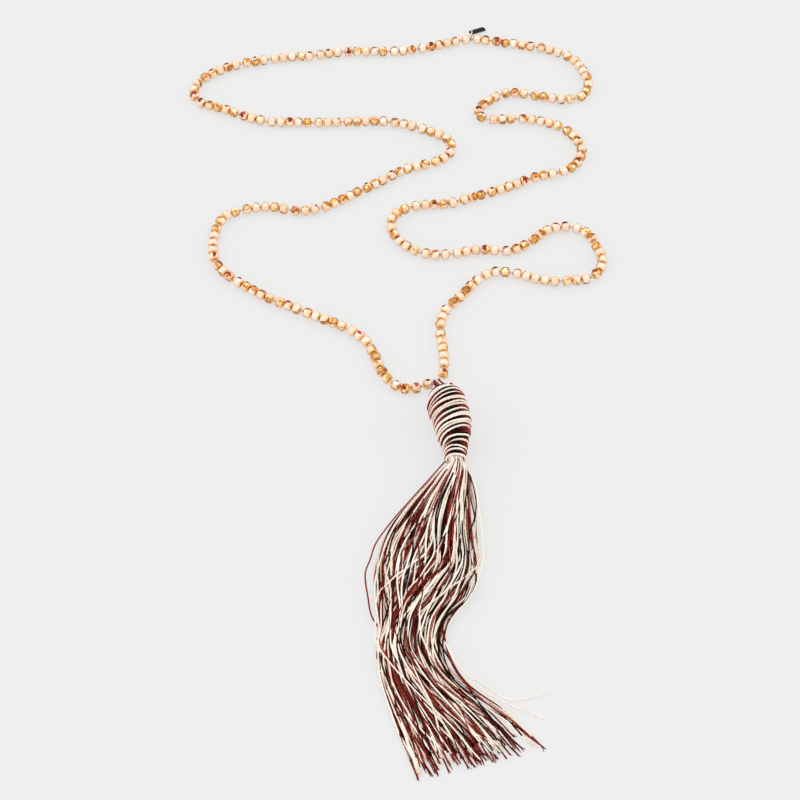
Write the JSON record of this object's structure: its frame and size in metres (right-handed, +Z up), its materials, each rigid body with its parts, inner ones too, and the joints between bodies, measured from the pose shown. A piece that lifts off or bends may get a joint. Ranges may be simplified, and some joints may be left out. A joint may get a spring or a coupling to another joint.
{
  "type": "long beaded necklace with tassel",
  "caption": "Long closed strand of faceted glass rondelles on a knotted thread, with a wound two-tone thread tassel and a plain bar tag on a ring, laid flat in loose loops.",
  "frame": {"origin": "centre of the whole laid-out necklace's underside, on the surface it lies on", "axes": "+X to the right of the viewer, +Y from the tassel's tips towards the ring and tag, +Z up from the surface"},
  "size_m": [0.244, 0.5257, 0.0214],
  "materials": {
    "bead_glass": "opaque pressed glass, half coated with a gold lustre",
    "beading_thread": "twisted thread",
    "tassel_cord": "loose round cords, cream and brown",
    "winding_cord": "wound round cord, cream and brown",
    "ring_metal": "polished wire",
    "tag_enamel": "gloss black"
  },
  "bodies": {
    "root": {"beads_left": "bead_glass", "beads_right": "bead_glass", "thread": "beading_thread", "tassel_loop": "tassel_cord", "tassel_head": "winding_cord", "tassel_skirt": "tassel_cord", "jump_ring": "ring_metal", "tag_bar": "tag_enamel"}
  },
  "joints": []
}
